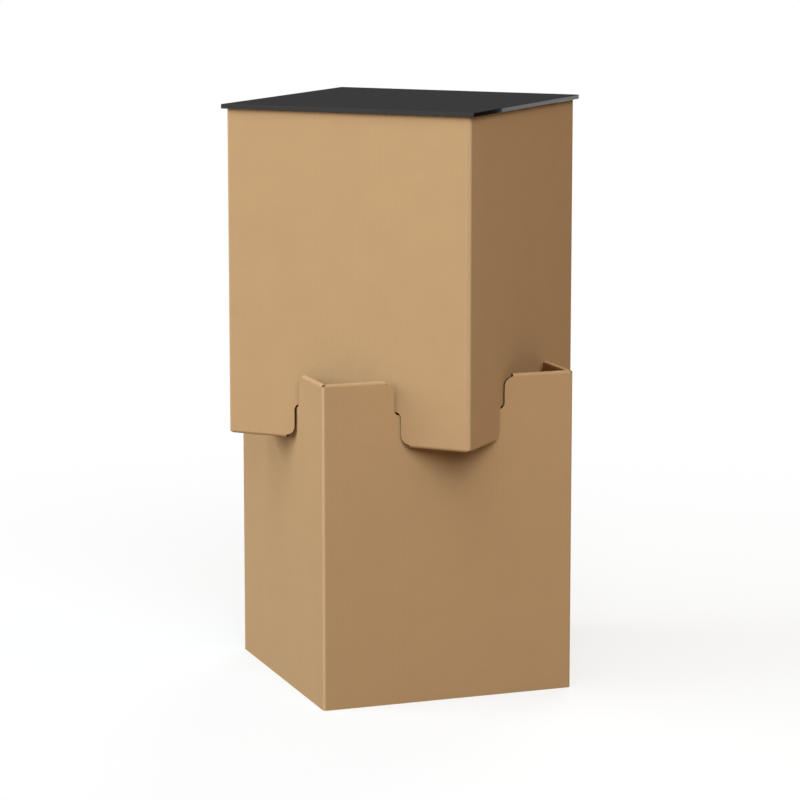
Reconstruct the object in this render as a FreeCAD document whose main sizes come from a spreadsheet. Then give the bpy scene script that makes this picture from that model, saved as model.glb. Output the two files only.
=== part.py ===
"""Display stand made of two interlocking sleeves of corrugated board and a thin black top plate.

Both sleeves are the same folded blank. The lower one stands on its plain end. The upper one is upside down
and turned by 45 degrees, so the corner tabs of each hang outside the sides of the other, and the round inner
corners of the cut-outs carry it where the sides cross. Lengths are in millimetres and +Z points up. The
origin is at the centre of the footprint, on the floor.
"""
import FreeCAD, Part
import math
import os

import Sketcher

from FreeCAD import Placement, Rotation, Vector

# Driving dimensions
SIZES = {
    "sleeve_side": 360,       # outside width of a sleeve
    "sleeve_height": 444,     # full height of a sleeve, hems included
    "board": 4,               # thickness of the corrugated board
    "crease_radius": 0.3,     # inside radius of an upright fold
    "tab_height": 47,         # from the floor of a cut-out to the end of the tabs
    "tab_corner": 12.5,       # rounded outer corner of a tab
    "cutout_corner": 8,       # rounded inner corner of a cut-out
    "slot_clear": 1,          # play between a tab's edge and the board that it passes
    "seat_clear": 0.2,        # play between the round corners that carry the upper sleeve
    "hem_length": 30,         # height of the folded end of a tab
    "hem_gap": 0.4,           # crack inside a folded end
    "hem_start": 3.2,         # from a sleeve's corner to the hem
    "mitre_gap": 1,           # gap between the two hems of a corner
    "relief_radius": 2,       # round notch between the two hems of a corner
    "relief_depth": 2.8,      # from the end of the tabs to the floor of the notch
    "lap_width": 35,          # glue lap inside the closed corner
    "lap_clear": 3,           # from the lap to the hem and to the collar
    "seam_setback": 2,        # raw edge of the closed corner, behind the fold
    "plate_overhang": 5.7,    # plate beyond the upper sleeve
    "plate_thickness": 6,
    "plate_corner": 1.5,
    "plate_edge": 0.5,        # bevel on the rim of the plate
    "collar_height": 40,
    "collar_clear": 1,        # play between the collar and the upper sleeve
    "collar_joint": 1.5,      # gap where the collar's two ends meet
}

TURN = 45                     # degrees between the two sleeves
MARGIN = 1                    # how far a cutting shape reaches past the board

doc = FreeCAD.newDocument("DisplayStand")
sheet = doc.addObject("Spreadsheet::Sheet", "Sizes")
for row, (alias, number) in enumerate(SIZES.items(), start=1):
    sheet.set(f"A{row}", alias)
    sheet.set(f"B{row}", str(number))
    sheet.setAlias(f"B{row}", alias)
doc.recompute()


class Size:
    """A length that knows both its value and the sheet formula that gives it."""

    def __init__(self, value, formula):
        self.value = value
        self.formula = formula

    def __add__(self, other):
        other = as_size(other)
        return Size(self.value + other.value, f"({self.formula} + {other.formula})")

    def __sub__(self, other):
        other = as_size(other)
        return Size(self.value - other.value, f"({self.formula} - {other.formula})")

    def __mul__(self, other):
        other = as_size(other)
        return Size(self.value * other.value, f"({self.formula} * {other.formula})")

    def __truediv__(self, other):
        other = as_size(other)
        return Size(self.value / other.value, f"({self.formula} / {other.formula})")

    def __neg__(self):
        return Size(-self.value, f"(0 - {self.formula})")


def as_size(number):
    return number if isinstance(number, Size) else Size(number, repr(number))


def root(size):
    return Size(math.sqrt(size.value), f"sqrt({size.formula})")


def smaller(first, second):
    return Size(min(first.value, second.value), f"min({first.formula}; {second.formula})")


def given(alias):
    return Size(SIZES[alias], f"Sizes.{alias}")


SIDE = given("sleeve_side")
HEIGHT = given("sleeve_height")
BOARD = given("board")
HALF = SIDE / 2
INNER_HALF = HALF - BOARD
FOLD_RADIUS = given("crease_radius") + BOARD

# The hem: a half turn of board, then a flap down the inside of the tab
HEM_RADIUS = BOARD + given("hem_gap") / 2
HEM_LEVEL = HEIGHT - HEM_RADIUS
HEM_FOOT = HEIGHT - given("hem_length")

# A side crosses the other sleeve's side at this distance from its corner
CROSSING = SIDE / (2 + math.sqrt(2))
TAB_WIDTH = CROSSING - BOARD - given("slot_clear")
CUTOUT_HALF = HALF - TAB_WIDTH
CUTOUT_FLOOR = HEIGHT - given("tab_height")
TAB_CORNER = given("tab_corner")
CUTOUT_CORNER = given("cutout_corner")


def corner_rise(distance):
    """Height of a cut-out's round inner corner above its floor, at a distance from the tab's edge."""
    inside = CUTOUT_CORNER - smaller(distance, CUTOUT_CORNER)
    return CUTOUT_CORNER - root(CUTOUT_CORNER * CUTOUT_CORNER - inside * inside)


# The two boards touch at the sharp ends of the lozenge that they share in plan
FAR_EDGE = given("slot_clear") + BOARD * (1 + math.sqrt(2))
SEAT_GAP = corner_rise(given("slot_clear")) + corner_rise(FAR_EDGE) + given("seat_clear")
STAND_TOP = CUTOUT_FLOOR * 2 + SEAT_GAP


def bind(item, name, size):
    item.setExpression(name, size.formula)


def origin_part(body, role):
    return next(item for item in body.Origin.OriginFeatures if item.Role == role)


def new_body(label):
    body = doc.addObject("PartDesign::Body", label)
    body.Label = label
    return body


def new_sketch(body, name, role, offset=None):
    """Sketch on one of the body's origin planes, or parallel to it at an offset."""
    sketch = body.newObject("Sketcher::SketchObject", name)
    sketch.AttachmentSupport = [(origin_part(body, role), "")]
    sketch.MapMode = "FlatFace"
    if offset is not None:
        bind(sketch, "AttachmentOffset.Base.z", offset)
    return sketch


def hold(sketch, constraint, size):
    """Add a constraint and tie its value to the sheet."""
    index = sketch.addConstraint(constraint)
    sketch.setExpression(f"Constraints[{index}]", size.formula)


def join_ends(line, following, join):
    """Where two neighbouring lines of a path end and start, before any rounding."""
    if join and join[0] == "turn":
        level = join[1].value
        return Vector(line[1].value, level, 0), Vector(following[1].value, level, 0)
    upright, level = (line, following) if line[0] == "x" else (following, line)
    point = Vector(upright[1].value, level[1].value, 0)
    return point, point


def draw_path(sketch, lines, joins):
    """Closed path of upright lines ("x", place) and level lines ("y", place).

    Join number i says how line i meets the next one: None for a sharp corner, ("round", radius), or
    ("turn", level) for a half circle between two upright lines.
    """
    count = len(lines)
    ends = [join_ends(lines[i], lines[(i + 1) % count], joins[i]) for i in range(count)]
    trims = [join[1].value if join and join[0] == "round" else 0 for join in joins]
    ways = [(ends[i][0] - ends[i - 1][1]).normalize() for i in range(count)]
    starts = [ends[i - 1][1] + ways[i] * trims[i - 1] for i in range(count)]
    stops = [ends[i][0] - ways[i] * trims[i] for i in range(count)]

    drawn = []
    for i, (kind, place) in enumerate(lines):
        line = sketch.addGeometry(Part.LineSegment(starts[i], stops[i]), False)
        sketch.addConstraint(Sketcher.Constraint("Vertical" if kind == "x" else "Horizontal", line))
        distance = "DistanceX" if kind == "x" else "DistanceY"
        hold(sketch, Sketcher.Constraint(distance, -1, 1, line, 1, place.value), place)
        drawn.append(line)

    for i, join in enumerate(joins):
        line, following = drawn[i], drawn[(i + 1) % count]
        if join is None:
            sketch.addConstraint(Sketcher.Constraint("Coincident", line, 2, following, 1))
            continue
        start, stop = stops[i], starts[(i + 1) % count]
        if join[0] == "round":
            centre = start + ways[(i + 1) % count] * trims[i]
        else:
            centre = (start + stop) / 2
        leftward = ways[i].cross(stop - start).z > 0
        first, last = (start, stop) if leftward else (stop, start)
        angles = [math.atan2(point.y - centre.y, point.x - centre.x) for point in (first, last)]
        circle = Part.Circle(centre, Vector(0, 0, 1), (start - centre).Length)
        arc = sketch.addGeometry(Part.ArcOfCircle(circle, angles[0], angles[1]), False)
        near, far = (1, 2) if leftward else (2, 1)
        sketch.addConstraint(Sketcher.Constraint("Tangent", line, 2, arc, near))
        sketch.addConstraint(Sketcher.Constraint("Tangent", arc, far, following, 1))
        if join[0] == "round":
            hold(sketch, Sketcher.Constraint("Radius", arc, join[1].value), join[1])
        else:
            hold(sketch, Sketcher.Constraint("DistanceY", -1, 1, arc, 3, join[1].value), join[1])


def draw_square(sketch, half, radius):
    """Square about the origin with four equal rounded corners."""
    lines = [("y", -half), ("x", half), ("y", half), ("x", -half)]
    draw_path(sketch, lines, [("round", radius)] * 4)


def pad(body, name, sketch, length):
    feature = body.newObject("PartDesign::Pad", name)
    feature.Profile = sketch
    bind(feature, "Length", length)
    return feature


def pattern(body, name, originals, occurrences, angle):
    """Turned copies of features about the upright axis."""
    feature = body.newObject("PartDesign::PolarPattern", name)
    feature.Originals = originals
    feature.Axis = (origin_part(body, "Z_Axis"), [""])
    feature.Occurrences = occurrences
    feature.Angle = angle
    body.Tip = feature
    return feature


def add_wall(body):
    """Four sides of the folded blank, up to the notches between the hems, with the closed corner at +X +Y."""
    sketch = new_sketch(body, "WallPlan", "XY_Plane")
    setback = given("seam_setback")
    fold = ("round", FOLD_RADIUS)
    closing_fold = ("round", setback * 0.75)
    lines = [("y", -HALF), ("x", HALF), ("y", INNER_HALF), ("x", HALF - setback), ("y", HALF), ("x", -HALF)]
    draw_path(sketch, lines, [fold, closing_fold, None, None, fold, fold])
    draw_square(sketch, INNER_HALF, given("crease_radius"))
    return pad(body, "Wall", sketch, HEIGHT - given("relief_depth"))


def add_glue_lap(body):
    """Lap of the closed corner, glued inside the +Y side and clear of the collar and of the hem."""
    foot = given("collar_height") + given("lap_clear")
    sketch = new_sketch(body, "LapPlan", "XY_Plane", foot)
    lines = [("y", INNER_HALF - BOARD), ("x", INNER_HALF), ("y", INNER_HALF), ("x", HALF - given("lap_width"))]
    draw_path(sketch, lines, [None] * 4)
    return pad(body, "GlueLap", sketch, HEM_FOOT - given("lap_clear") - foot)


def add_cutouts(body):
    """Wide cut-out in the end of each side: round inner corners, rounded tabs, and level seats for the hems."""
    sketch = new_sketch(body, "CutoutOutline", "XZ_Plane")
    mouth = HALF - given("hem_start")
    lines = [("y", CUTOUT_FLOOR), ("x", CUTOUT_HALF), ("y", HEM_LEVEL), ("x", mouth), ("y", HEIGHT),
             ("x", -mouth), ("y", HEM_LEVEL), ("x", -CUTOUT_HALF)]
    inner, tab = ("round", CUTOUT_CORNER), ("round", TAB_CORNER)
    draw_path(sketch, lines, [inner, tab, None, None, None, None, tab, inner])
    cutout = body.newObject("PartDesign::Pocket", "Cutout")
    cutout.Profile = sketch
    cutout.SideType = "Symmetric"
    bind(cutout, "Length", SIDE + 2 * MARGIN)
    return pattern(body, "Cutouts", [cutout], 2, 90)


def add_hem(body, name, start):
    """One hem of the -Y side, from its start along X: a half turn of board and a flap down the inside."""
    sketch = new_sketch(body, name + "Section", "YZ_Plane", start)
    flap_face = HEM_RADIUS * 2 - HALF
    lines = [("x", -HALF), ("x", flap_face), ("y", HEM_FOOT), ("x", flap_face - BOARD), ("x", -INNER_HALF),
             ("y", HEM_LEVEL - MARGIN)]
    turn = ("turn", HEM_LEVEL)
    draw_path(sketch, lines, [turn, None, None, turn, None, None])
    length = TAB_WIDTH - TAB_CORNER - given("hem_start")
    return pad(body, name, sketch, length)


def add_hems(body):
    """Two hems on each side, one for each tab."""
    left = add_hem(body, "LeftHem", given("hem_start") - HALF)
    right = add_hem(body, "RightHem", CUTOUT_HALF + TAB_CORNER)
    return pattern(body, "Hems", [left, right], 4, 360)


def add_hem_crack(body):
    """Crack between the walls and the hems, which also parts each hem from the side that it meets."""
    sketch = new_sketch(body, "HemCrackPlan", "XY_Plane", HEM_LEVEL)
    draw_square(sketch, INNER_HALF, given("crease_radius"))
    draw_square(sketch, INNER_HALF - given("hem_gap"), given("crease_radius"))
    crack = body.newObject("PartDesign::Pocket", "HemCrack")
    crack.Profile = sketch
    bind(crack, "Length", HEM_LEVEL - HEM_FOOT)
    body.Tip = crack
    return crack


def add_corner_cuts(body):
    """Mitre between the two hems of each corner, and the round notch where they leave the fold."""
    slit = body.newObject("PartDesign::SubtractiveBox", "Mitre")
    slit.AttachmentSupport = [(origin_part(body, "XY_Plane"), "")]
    slit.MapMode = "FlatFace"
    slit.AttachmentOffset = Placement(Vector(), Rotation(Vector(0, 0, 1), 45))
    gap = given("mitre_gap")
    sideways = gap / (2 * math.sqrt(2))
    start = BOARD + given("hem_gap")
    bind(slit, "AttachmentOffset.Base.x", start - HALF + sideways)
    bind(slit, "AttachmentOffset.Base.y", start - HALF - sideways)
    bind(slit, "AttachmentOffset.Base.z", HEM_FOOT - MARGIN)
    bind(slit, "Length", (HEM_RADIUS * 2 - start + gap) * math.sqrt(2))
    bind(slit, "Width", gap)
    bind(slit, "Height", given("hem_length") + 2 * MARGIN)

    notch = body.newObject("PartDesign::SubtractiveCylinder", "ReliefNotch")
    notch.AttachmentSupport = [(origin_part(body, "XY_Plane"), "")]
    notch.MapMode = "FlatFace"
    notch.AttachmentOffset = Placement(Vector(), Rotation(Vector(0, 0, 1), Vector(1, 1, 0)))
    bind(notch, "AttachmentOffset.Base.x", -HALF - MARGIN)
    bind(notch, "AttachmentOffset.Base.y", -HALF - MARGIN)
    bind(notch, "AttachmentOffset.Base.z", HEIGHT - given("relief_depth") + given("relief_radius"))
    bind(notch, "Radius", given("relief_radius"))
    bind(notch, "Height", (BOARD + 2 * MARGIN) * math.sqrt(2))
    return pattern(body, "CornerCuts", [slit, notch], 4, 360)


def make_sleeve(label):
    body = new_body(label)
    add_wall(body)
    add_glue_lap(body)
    add_cutouts(body)
    add_hems(body)
    add_hem_crack(body)
    add_corner_cuts(body)
    return body


def make_collar(label):
    """Strip of board folded square, whose ends meet in the middle of the +Y side."""
    body = new_body(label)
    outer = INNER_HALF - given("collar_clear")
    sketch = new_sketch(body, "CollarPlan", "XY_Plane")
    draw_square(sketch, outer, FOLD_RADIUS)
    draw_square(sketch, outer - BOARD, given("crease_radius"))
    pad(body, "Collar", sketch, given("collar_height"))

    joint = body.newObject("PartDesign::SubtractiveBox", "Joint")
    joint.AttachmentSupport = [(origin_part(body, "XY_Plane"), "")]
    joint.MapMode = "FlatFace"
    width = given("collar_joint")
    bind(joint, "AttachmentOffset.Base.x", -(width / 2))
    bind(joint, "AttachmentOffset.Base.y", outer - BOARD - MARGIN)
    bind(joint, "AttachmentOffset.Base.z", as_size(-MARGIN))
    bind(joint, "Length", width)
    bind(joint, "Width", BOARD + 2 * MARGIN)
    bind(joint, "Height", given("collar_height") + 2 * MARGIN)
    return body


def make_plate(label):
    """Thin plate with a finely bevelled rim."""
    body = new_body(label)
    sketch = new_sketch(body, "PlatePlan", "XY_Plane")
    draw_square(sketch, HALF + given("plate_overhang"), given("plate_corner"))
    slab = pad(body, "Slab", sketch, given("plate_thickness"))
    doc.recompute()
    rims = [f"Edge{i}" for i, edge in enumerate(slab.Shape.Edges, start=1) if edge.BoundBox.ZLength < 1e-6]
    rim = body.newObject("PartDesign::Chamfer", "Rim")
    rim.Base = (slab, rims)
    bind(rim, "Size", given("plate_edge"))
    return body


def place(body, height, rotation):
    body.Placement = Placement(Vector(), rotation)
    bind(body, "Placement.Base.z", height)


turned = Rotation(Vector(0, 0, 1), TURN)
upside_down = Rotation(Vector(0, 0, 1), 90 + TURN) * Rotation(Vector(1, 0, 0), 180)

lower_sleeve = make_sleeve("lower_sleeve")
upper_sleeve = make_sleeve("upper_sleeve")
lid_collar = make_collar("lid_collar")
top_plate = make_plate("top_plate")
place(upper_sleeve, STAND_TOP, upside_down)
place(lid_collar, STAND_TOP - given("collar_height"), turned)
place(top_plate, STAND_TOP, turned)
doc.recompute()

failed = [item.Label for item in doc.Objects if "Invalid" in item.State or "Error" in item.State]
if failed:
    raise RuntimeError("failed to build: " + ", ".join(failed))

parts = [lower_sleeve, upper_sleeve, lid_collar, top_plate]
for part in parts:
    if part.Shape.isNull() or not part.Shape.isValid() or len(part.Shape.Solids) != 1:
        raise RuntimeError("not one valid solid: " + part.Label)

os.makedirs("parts", exist_ok=True)
for part in parts:
    part.Shape.exportStep(f"parts/{part.Label}.step")
    box = part.Shape.BoundBox
    print(f"{part.Label}: volume {part.Shape.Volume:.0f}, z {box.ZMin:.2f} to {box.ZMax:.2f}, "
          f"x {box.XMin:.2f} to {box.XMax:.2f}, y {box.YMin:.2f} to {box.YMax:.2f}")
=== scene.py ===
"""Looks of the cardboard display stand: kraft corrugated board and a gloss black top plate.

Lengths are in metres, angles in degrees, and colours are linear.
"""

import math

import bpy
from mathutils import Euler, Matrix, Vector

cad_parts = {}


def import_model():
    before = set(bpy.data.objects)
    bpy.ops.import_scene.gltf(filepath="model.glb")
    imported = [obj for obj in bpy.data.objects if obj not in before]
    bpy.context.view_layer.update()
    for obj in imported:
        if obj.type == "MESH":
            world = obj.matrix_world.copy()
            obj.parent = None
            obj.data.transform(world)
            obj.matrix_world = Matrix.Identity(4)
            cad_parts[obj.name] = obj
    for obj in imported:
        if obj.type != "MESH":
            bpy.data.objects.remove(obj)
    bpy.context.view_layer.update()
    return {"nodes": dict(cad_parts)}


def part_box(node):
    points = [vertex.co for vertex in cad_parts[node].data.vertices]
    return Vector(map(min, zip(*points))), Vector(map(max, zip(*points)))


# The corrugated board, its thickness and the crack inside a hem as in the CAD
BOARD = 0.0040
HEM_GAP = 0.0004
FLUTE_PITCH = 0.0079
LINER = 0.00042

# Colours of the board and the plate
KRAFT = (0.51, 0.35, 0.19)
# Inside faces: partly a darker inner liner, partly painted shade
KRAFT_INSIDE_SHADE = (0.20, 0.10, 0.035)
# Worn folds, and also the painted highlight along the ridge of each fold
KRAFT_WORN_AND_HIGHLIGHT = (0.62, 0.46, 0.29)
# Raw cut edges: partly their own darker tone, partly painted shade
KRAFT_EDGE_SHADE = (0.10, 0.05, 0.018)
# Painted shade in the flute hollows of raw edges and deep in the notches where hems meet
KRAFT_CAVITY_SHADE = (0.045, 0.022, 0.008)
DARK_SPECK = (0.30, 0.185, 0.085)
LIGHT_SPECK = (0.66, 0.50, 0.32)
PLATE_BLACK = (0.012, 0.012, 0.012)
PLATE_DUST = (0.10, 0.10, 0.10)

# Noise textures: scale, detail and roughness
FIBRES = (620.0, 4.0, 0.62)
CLOUDS = (22.0, 4.0, 0.55)
SPECKS = (900.0, 1.0, 0.4)
FOLD_WEAR = (140.0, 3.0, 0.6)
SMUDGES = (9.0, 4.0, 0.6)
HAIRS = (60.0, 2.0, 0.5)
DUST = (1400.0, 0.0, 0.5)

# Studio
WHITE = (1.0, 1.0, 1.0)
FLOOR_BOUNCE = (0.29, 0.205, 0.13)
FLOOR_PAPER = (0.87, 0.95, 1.0)
KEY_TINT = (0.955, 0.965, 0.965)
FRONT_TINT = (1.0, 0.945, 0.915)
WARM_TINT = (1.0, 0.50, 0.16)
BACK_TINT = (1.0, 0.92, 0.82)
LIGHT_TARGET = Vector((0.0, 0.0, 0.42))
LIGHT_DISTANCE = 6.0


def empty_material(name):
    """A material with an empty tree, and the input that takes its surface."""
    material = bpy.data.materials.new(name)
    material.use_nodes = True
    tree = material.node_tree
    tree.nodes.clear()
    output = tree.nodes.new("ShaderNodeOutputMaterial")
    return material, tree, output.inputs["Surface"]


def principled_material(name):
    """A material with its tree and its Principled shader."""
    material, tree, surface = empty_material(name)
    shader = tree.nodes.new("ShaderNodeBsdfPrincipled")
    tree.links.new(shader.outputs["BSDF"], surface)
    return material, tree, shader


def feed(tree, socket, value):
    """Links a socket to an input, or sets the input to a plain number or colour."""
    if isinstance(value, bpy.types.NodeSocket):
        tree.links.new(value, socket)
    elif isinstance(value, tuple) and socket.type == "RGBA":
        socket.default_value = (*value, 1.0)
    else:
        socket.default_value = value


def calc(tree, operation, a, b=0.0):
    """The result of one Math node."""
    node = tree.nodes.new("ShaderNodeMath")
    node.operation = operation
    feed(tree, node.inputs[0], a)
    feed(tree, node.inputs[1], b)
    return node.outputs[0]


def plus(tree, a, b):
    return calc(tree, "ADD", a, b)


def minus(tree, a, b):
    return calc(tree, "SUBTRACT", a, b)


def times(tree, a, b):
    return calc(tree, "MULTIPLY", a, b)


def absolute(tree, value):
    """A number without its sign."""
    return calc(tree, "ABSOLUTE", value)


def ramp(tree, value, start, end):
    """0 before start, 1 after end, and smooth in between."""
    node = tree.nodes.new("ShaderNodeMapRange")
    node.interpolation_type = "SMOOTHSTEP"
    feed(tree, node.inputs["Value"], value)
    node.inputs["From Min"].default_value = start
    node.inputs["From Max"].default_value = end
    return node.outputs["Result"]


def falling(tree, value, start, end):
    """1 before start, 0 after end, and smooth in between."""
    return minus(tree, 1.0, ramp(tree, value, start, end))


def between(tree, value, low, high, soft):
    """1 where value is from low to high, with soft edges."""
    return times(tree, ramp(tree, value, low - soft, low), falling(tree, value, high, high + soft))


def mix(tree, kind, places, factor, first, second):
    """One Mix node, where places are those of its two values and its result among its sockets."""
    first_place, second_place, result_place = places
    node = tree.nodes.new("ShaderNodeMix")
    node.data_type = kind
    feed(tree, node.inputs[0], factor)
    feed(tree, node.inputs[first_place], first)
    feed(tree, node.inputs[second_place], second)
    return node.outputs[result_place]


def blend(tree, factor, first, second):
    """A mix of two colours, each a socket or a plain colour."""
    return mix(tree, "RGBA", (6, 7, 2), factor, first, second)


def pick(tree, factor, first, second):
    """A mix of two numbers."""
    return mix(tree, "FLOAT", (2, 3, 0), factor, first, second)


def noise(tree, place, scale, detail, roughness):
    """Values of a noise texture about 0.5."""
    node = tree.nodes.new("ShaderNodeTexNoise")
    node.inputs["Scale"].default_value = scale
    node.inputs["Detail"].default_value = detail
    node.inputs["Roughness"].default_value = roughness
    tree.links.new(place, node.inputs["Vector"])
    return node.outputs["Fac"]


def turned(tree, vector, degrees):
    """A vector turned about the upright axis."""
    node = tree.nodes.new("ShaderNodeVectorRotate")
    node.rotation_type = "Z_AXIS"
    node.inputs["Angle"].default_value = math.radians(degrees)
    tree.links.new(vector, node.inputs["Vector"])
    return node.outputs["Vector"]


def stretched(tree, vector, factors):
    """A vector with a factor of its own for each direction."""
    node = tree.nodes.new("ShaderNodeVectorMath")
    node.operation = "MULTIPLY"
    node.inputs[1].default_value = factors
    tree.links.new(vector, node.inputs[0])
    return node.outputs[0]


def shaded(tree, colour, tone):
    """A colour times a number."""
    node = tree.nodes.new("ShaderNodeVectorMath")
    node.operation = "SCALE"
    tree.links.new(colour, node.inputs[0])
    tree.links.new(tone, node.inputs["Scale"])
    return node.outputs[0]


def parts_of(tree, vector):
    """The three numbers of a vector."""
    node = tree.nodes.new("ShaderNodeSeparateXYZ")
    tree.links.new(vector, node.inputs[0])
    return node.outputs[0], node.outputs[1], node.outputs[2]


def vector_of(tree, x, y, z):
    """A vector from three numbers."""
    node = tree.nodes.new("ShaderNodeCombineXYZ")
    for socket, value in zip(node.inputs, (x, y, z)):
        feed(tree, socket, value)
    return node.outputs[0]


def bumped(tree, height, strength, distance, normal=None):
    """The normal that a bump gives, on top of an earlier bump's normal if there is one."""
    node = tree.nodes.new("ShaderNodeBump")
    node.inputs["Strength"].default_value = strength
    node.inputs["Distance"].default_value = distance
    tree.links.new(height, node.inputs["Height"])
    if normal is not None:
        tree.links.new(normal, node.inputs["Normal"])
    return node.outputs[0]


def sleeve_sizes():
    """Half a sleeve's side, and the levels of the lower sleeve's hems and of the plate."""
    _, lower_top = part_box("lower_sleeve")
    _, upper_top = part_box("upper_sleeve")
    return {
        "half_side": lower_top.x,
        "hem_level": lower_top.z - BOARD - HEM_GAP / 2,
        "plate_level": upper_top.z,
    }


def board_place(tree, sizes, turn, upside_down):
    """Where a point is on its wall, and how its surface lies to that wall."""
    wall_facing = (0.5, 0.8)
    place = tree.nodes.new("ShaderNodeTexCoord").outputs["Object"]
    normal = tree.nodes.new("ShaderNodeNewGeometry").outputs["True Normal"]
    x, y, z = parts_of(tree, turned(tree, place, -turn))
    nx, ny, _ = parts_of(tree, turned(tree, normal, -turn))
    far_x, far_y = absolute(tree, x), absolute(tree, y)
    on_x = calc(tree, "GREATER_THAN", far_x, far_y)
    facing = absolute(tree, pick(tree, on_x, ny, nx))
    outwards = pick(tree, on_x, times(tree, y, ny), times(tree, x, nx))
    rise = minus(tree, sizes["plate_level"], z) if upside_down else z
    return {
        "on_x": on_x,
        "along": pick(tree, on_x, x, y),
        "depth": minus(tree, sizes["half_side"], calc(tree, "MAXIMUM", far_x, far_y)),
        "corner": minus(tree, sizes["half_side"], calc(tree, "MINIMUM", far_x, far_y)),
        "height": z,
        "above_hem": minus(tree, rise, sizes["hem_level"]),
        "facing": facing,
        "sideways": absolute(tree, pick(tree, on_x, nx, ny)),
        "inside": times(tree, calc(tree, "LESS_THAN", outwards, 0.0), ramp(tree, facing, *wall_facing)),
    }


def flute_wave(tree, spot):
    """The wave of the flutes along the wall, from -1 to 1."""
    return calc(tree, "SINE", times(tree, spot["along"], 2 * math.pi / FLUTE_PITCH))


def cut_edge(tree, spot):
    """How much of a point is raw cut edge, and how much of that shows the hollow between the liners."""
    edge_facing, hem_sideways, hem_start = (0.45, 0.60), (0.5, 0.7), 0.0004
    flute_paper, liner_softness, side_centre = (0.00022, 0.00052), 0.00010, BOARD * 0.36
    at_hem = ramp(tree, spot["above_hem"], -hem_start, 0.0)
    on_hem = times(tree, at_hem, falling(tree, spot["sideways"], *hem_sideways))
    is_cut = times(tree, falling(tree, spot["facing"], *edge_facing), minus(tree, 1.0, on_hem))
    layer = calc(tree, "MODULO", spot["depth"], BOARD + HEM_GAP)
    between_liners = between(tree, layer, LINER, BOARD - LINER, liner_softness)
    swing = times(tree, flute_wave(tree, spot), BOARD / 2 - LINER)
    flute_centre = pick(tree, spot["sideways"], plus(tree, swing, BOARD / 2), side_centre)
    off_flute = absolute(tree, minus(tree, layer, flute_centre))
    return is_cut, times(tree, between_liners, ramp(tree, off_flute, *flute_paper))


def notch_shade(tree, spot):
    """1 deep in the small notch where two hems meet at a corner, which gets painted shade."""
    reach, depth = (0.0046, 0.0054), (0.0008, 0.0014)
    low, high, softness = 0.0008, 0.0039, 0.0002
    near = falling(tree, spot["corner"], *reach)
    level = between(tree, spot["above_hem"], low, high, softness)
    deep = ramp(tree, spot["depth"], *depth)
    return times(tree, times(tree, near, level), deep)


def liner_colour(tree, spot, flat, drawn, fibres, flute):
    """The covered board: mottled kraft with specks, partly painted shade on the inside faces, lighter on
    its worn folds, and a painted highlight along the ridge of each fold.
    """
    fibre_share, cloud_share, flute_share = 0.30, 0.09, 0.006
    dark_range, dark_share = (0.66, 0.74), 0.35
    light_range, light_share = (0.26, 0.34), 0.30
    rub_reach, rub_range, rub_share = (0.0012, 0.0042), (0.42, 0.62), 0.30
    fold_highlight_reach, fold_highlight_share = (0.0022, 0.0036), 0.55
    clouds = noise(tree, flat, *CLOUDS)
    specks = noise(tree, flat, *SPECKS)
    wear = noise(tree, drawn, *FOLD_WEAR)
    tone = plus(tree, times(tree, minus(tree, fibres, 0.5), fibre_share), 1.0)
    tone = plus(tree, tone, times(tree, minus(tree, clouds, 0.5), cloud_share))
    tone = plus(tree, tone, times(tree, flute, flute_share))
    # Inside faces take a darker colour that is partly painted shade
    colour = shaded(tree, blend(tree, spot["inside"], KRAFT, KRAFT_INSIDE_SHADE), tone)
    dark = ramp(tree, specks, *dark_range)
    colour = blend(tree, times(tree, dark, dark_share), colour, DARK_SPECK)
    light = falling(tree, specks, *light_range)
    colour = blend(tree, times(tree, light, light_share), colour, LIGHT_SPECK)
    rub = times(tree, falling(tree, spot["corner"], *rub_reach), ramp(tree, wear, *rub_range))
    colour = blend(tree, times(tree, rub, rub_share), colour, KRAFT_WORN_AND_HIGHLIGHT)
    # Painted highlight along the ridge of each fold, where the rounded fold catches light
    fold_highlight = falling(tree, spot["corner"], *fold_highlight_reach)
    return blend(tree, times(tree, fold_highlight, fold_highlight_share), colour, KRAFT_WORN_AND_HIGHLIGHT)


def board_relief(tree, fibres, flute, hollow):
    """The normal of fibres, of faint flute lines and of the hollows in the raw edge."""
    grain_strength, grain_height, wave_height, hollow_depth = 0.35, 0.00010, 0.000006, 0.0006
    grain = bumped(tree, fibres, grain_strength, grain_height)
    washboard = bumped(tree, flute, 1.0, wave_height, grain)
    return bumped(tree, minus(tree, 1.0, hollow), 1.0, hollow_depth, washboard)


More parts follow.
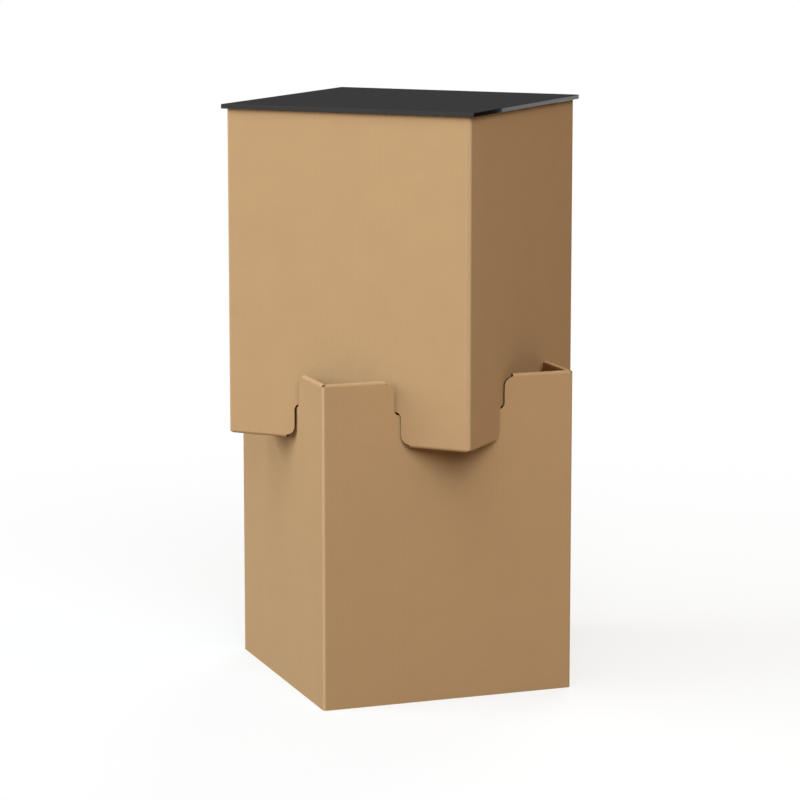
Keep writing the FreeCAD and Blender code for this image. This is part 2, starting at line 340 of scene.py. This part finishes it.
def kraft(name, sizes, turn, upside_down=False):
    """Kraft corrugated board of a sleeve that is turned about its axis and may stand upside down."""
    depth_scale, wall_shift, fibre_stretch = 3.0, 0.7, (1.0, 1.0, 5.0)
    edge_share, least_rough, most_rough = 0.85, 0.74, 0.92
    material, tree, shader = principled_material(name)
    spot = board_place(tree, sizes, turn, upside_down)
    across = plus(tree, times(tree, spot["depth"], depth_scale), times(tree, spot["on_x"], wall_shift))
    flat = vector_of(tree, spot["along"], across, spot["height"])
    drawn = stretched(tree, flat, fibre_stretch)
    fibres = noise(tree, drawn, *FIBRES)
    flute = flute_wave(tree, spot)

    face = liner_colour(tree, spot, flat, drawn, fibres, flute)
    is_cut, hollow = cut_edge(tree, spot)
    # Raw cut edges: a dark tone that is partly painted shade, with painted shade in the flute hollows
    raw = blend(tree, hollow, blend(tree, edge_share, face, KRAFT_EDGE_SHADE), KRAFT_CAVITY_SHADE)
    cover = blend(tree, is_cut, face, raw)
    # Painted shade deep in the notches where two hems meet
    colour = blend(tree, notch_shade(tree, spot), cover, KRAFT_CAVITY_SHADE)
    feed(tree, shader.inputs["Base Color"], colour)
    feed(tree, shader.inputs["Roughness"], pick(tree, fibres, least_rough, most_rough))
    shader.inputs["Specular IOR Level"].default_value = 0.16
    relief = board_relief(tree, fibres, flute, times(tree, is_cut, hollow))
    tree.links.new(relief, shader.inputs["Normal"])
    return material


def gloss_black(name):
    """Polished black plastic with faint hair scratches, smudges and a little dust."""
    smudge_range, hair_range, dust_range = (0.45, 0.70), (0.62, 0.72), (0.74, 0.80)
    hair_stretch, hair_angle, hair_strength, hair_height = (1.0, 16.0, 1.0), 38.0, 0.20, 0.00002
    base_roughness, smudge_roughness, hair_roughness, dust_share = 0.035, 0.05, 0.05, 0.20
    material, tree, shader = principled_material(name)
    place = tree.nodes.new("ShaderNodeTexCoord").outputs["Object"]
    smudges = ramp(tree, noise(tree, place, *SMUDGES), *smudge_range)
    drawn = stretched(tree, turned(tree, place, hair_angle), hair_stretch)
    hairs = ramp(tree, noise(tree, drawn, *HAIRS), *hair_range)
    dust = ramp(tree, noise(tree, place, *DUST), *dust_range)

    colour = blend(tree, times(tree, dust, dust_share), PLATE_BLACK, PLATE_DUST)
    feed(tree, shader.inputs["Base Color"], colour)
    rough = plus(tree, times(tree, smudges, smudge_roughness), base_roughness)
    feed(tree, shader.inputs["Roughness"], plus(tree, rough, times(tree, hairs, hair_roughness)))
    shader.inputs["Specular IOR Level"].default_value = 0.5
    shader.inputs["IOR"].default_value = 1.49
    tree.links.new(bumped(tree, hairs, hair_strength, hair_height), shader.inputs["Normal"])
    return material


def white_ray(tree):
    """1 for the rays that show the white background: camera, glossy and transmission rays."""
    path = tree.nodes.new("ShaderNodeLightPath")
    seen = calc(tree, "MAXIMUM", path.outputs["Is Camera Ray"], path.outputs["Is Glossy Ray"])
    return calc(tree, "MAXIMUM", seen, path.outputs["Is Transmission Ray"])


def emission(tree, colour, strength):
    """A surface that gives light."""
    node = tree.nodes.new("ShaderNodeEmission")
    feed(tree, node.inputs["Color"], colour)
    feed(tree, node.inputs["Strength"], strength)
    return node.outputs[0]


def diffuse(tree, colour):
    """A matt surface."""
    node = tree.nodes.new("ShaderNodeBsdfDiffuse")
    feed(tree, node.inputs["Color"], colour)
    return node.outputs[0]


def mixed(tree, factor, first, second):
    """A mix of two surfaces."""
    node = tree.nodes.new("ShaderNodeMixShader")
    feed(tree, node.inputs[0], factor)
    tree.links.new(first, node.inputs[1])
    tree.links.new(second, node.inputs[2])
    return node.outputs[0]


def floor_material(half_side):
    """Pale floor: white to the camera under the object's soft shadow, a plain bounce to other rays.

    It gives no light of its own inside the sleeve.
    """
    near, far, paper_near = 0.5, 1.9, 0.70
    material, tree, surface = empty_material("pale_floor")
    place = tree.nodes.new("ShaderNodeTexCoord").outputs["Object"]
    x, y, _ = parts_of(tree, place)
    reach = calc(tree, "SQRT", plus(tree, times(tree, x, x), times(tree, y, y)))
    paper = plus(tree, times(tree, ramp(tree, reach, near, far), 1.0 - paper_near), paper_near)
    side_reach = calc(tree, "MAXIMUM", absolute(tree, x), absolute(tree, y))
    outside_sleeve = calc(tree, "GREATER_THAN", side_reach, half_side - BOARD / 2)
    paper = times(tree, paper, outside_sleeve)
    seen = mixed(tree, paper, diffuse(tree, FLOOR_PAPER), emission(tree, WHITE, 1.0))
    bounce = diffuse(tree, FLOOR_BOUNCE)
    tree.links.new(mixed(tree, white_ray(tree), bounce, seen), surface)
    return material


def card_material(name, level):
    """A plain card of one grey that doesn't depend on the lamps."""
    material, tree, surface = empty_material(name)
    tree.links.new(emission(tree, (level, level, level), 1.0), surface)
    return material


def new_mesh(name, points, faces, material):
    """A mesh object from its points and faces."""
    mesh = bpy.data.meshes.new(name)
    mesh.from_pydata(points, [], faces)
    mesh.materials.append(material)
    made = bpy.data.objects.new(name, mesh)
    bpy.context.scene.collection.objects.link(made)
    return made


def make_floor(half_side):
    """A wide round floor at height 0, around and under a sleeve with this half side."""
    reach, sides = 60.0, 48
    points = [(0.0, 0.0, 0.0)]
    for k in range(sides):
        a = 2 * math.pi * k / sides
        points.append((reach * math.cos(a), reach * math.sin(a), 0.0))
    faces = [(0, k + 1, (k + 1) % sides + 1) for k in range(sides)]
    new_mesh("stage_floor", points, faces, floor_material(half_side))


def only_in_gloss(card):
    """The card is met by glossy rays alone."""
    card.visible_camera = False
    card.visible_diffuse = False
    card.visible_shadow = False
    card.visible_transmission = False


def make_ring():
    """A dark grey ring around the set, above the plate, which gives the plate's gloss its tone."""
    radius, low, high, sides, level = 3.0, 0.81, 2.2, 64, 0.062
    points, faces = [], []
    for k in range(sides):
        a = 2 * math.pi * k / sides
        points += [(radius * math.cos(a), radius * math.sin(a), z) for z in (low, high)]
        n = (k + 1) % sides
        faces.append((2 * k, 2 * n, 2 * n + 1, 2 * k + 1))
    only_in_gloss(new_mesh("stage_ring", points, faces, card_material("grey_card", level)))


def make_black_card():
    """An upright black card, where the first part of the plate's right edge mirrors the view."""
    away, right, distance = Vector((0.931, 0.365, 0.0)), Vector((0.365, -0.931, 0.0)), 0.382
    start, end, low, high = 0.203, 0.45, 0.64, 0.795
    outline = ((start, low), (end, low), (end, high), (start, high))
    points = [tuple(away * distance + right * side + Vector((0.0, 0.0, z))) for side, z in outline]
    only_in_gloss(new_mesh("stage_black_card", points, [(0, 1, 2, 3)], card_material("black_card", 0.0)))


def make_world():
    """White to the camera and to gloss, and no light of its own on the object."""
    world = bpy.data.worlds.new("studio")
    world.use_nodes = True
    tree = world.node_tree
    tree.nodes.clear()
    output = tree.nodes.new("ShaderNodeOutputWorld")
    white = tree.nodes.new("ShaderNodeBackground")
    feed(tree, white.inputs["Color"], WHITE)
    feed(tree, white.inputs["Strength"], white_ray(tree))
    tree.links.new(white.outputs[0], output.inputs["Surface"])
    bpy.context.scene.world = world


def softbox(name, bearing, elevation, side, level, colour):
    """A square soft light aimed at the object, its bearing counted from the front towards the right.

    Level is the light that it gives to a surface that faces it.
    """
    data = bpy.data.lights.new(name, "AREA")
    data.shape = "SQUARE"
    data.size = side
    data.energy = level * (math.pi * LIGHT_DISTANCE) ** 2
    data.color = colour
    lamp = bpy.data.objects.new(name, data)
    bpy.context.scene.collection.objects.link(lamp)
    a, e = math.radians(bearing), math.radians(elevation)
    back = Vector((math.sin(a) * math.cos(e), -math.cos(a) * math.cos(e), math.sin(e)))
    lamp.location = LIGHT_TARGET + back * LIGHT_DISTANCE
    lamp.rotation_euler = back.to_track_quat("Z", "Y").to_euler()
    lamp.visible_camera = False
    lamp.visible_glossy = False


def make_lights():
    """Large far softboxes: left, high left, front, a weak warm one high at the right, and back right."""
    softbox("left_light", -104.0, 18.0, 3.6, 0.755, KEY_TINT)
    softbox("high_light", -58.0, 65.0, 3.4, 0.38, KEY_TINT)
    softbox("front_light", -10.0, 31.0, 3.4, 0.685, FRONT_TINT)
    softbox("fill_light", 62.0, 60.0, 3.4, 0.14, WARM_TINT)
    softbox("back_light", 140.0, 25.0, 3.4, 0.50, BACK_TINT)


def make_camera():
    """The photograph's view, with its focal length and width in pixels."""
    focal, wide, shift_y = 3063.5, 800.0, -0.03
    place = Vector((-1.452, -3.962, 1.111))
    bearing, down = -20.06, 9.32
    data = bpy.data.cameras.new("camera")
    data.sensor_width = 36.0
    data.lens = focal / wide * data.sensor_width
    data.shift_y = shift_y
    data.clip_end = 200.0
    camera = bpy.data.objects.new("camera", data)
    bpy.context.scene.collection.objects.link(camera)
    camera.location = place
    camera.rotation_euler = Euler((math.radians(90.0 - down), 0.0, math.radians(bearing)))
    bpy.context.scene.camera = camera


def dress(node, material):
    """Puts one material on every slot of a CAD node."""
    for slot in node.material_slots:
        slot.material = material


def main():
    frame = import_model()
    nodes = frame["nodes"]
    sizes = sleeve_sizes()
    dress(nodes["lower_sleeve"], kraft("kraft_lower", sizes, 0.0))
    dress(nodes["upper_sleeve"], kraft("kraft_upper", sizes, 45.0, upside_down=True))
    dress(nodes["lid_collar"], kraft("kraft_collar", sizes, 45.0, upside_down=True))
    dress(nodes["top_plate"], gloss_black("gloss_black_plate"))
    make_floor(sizes["half_side"])
    make_ring()
    make_black_card()
    make_world()
    make_lights()
    make_camera()
    bpy.context.scene.view_settings.view_transform = "Standard"


main()
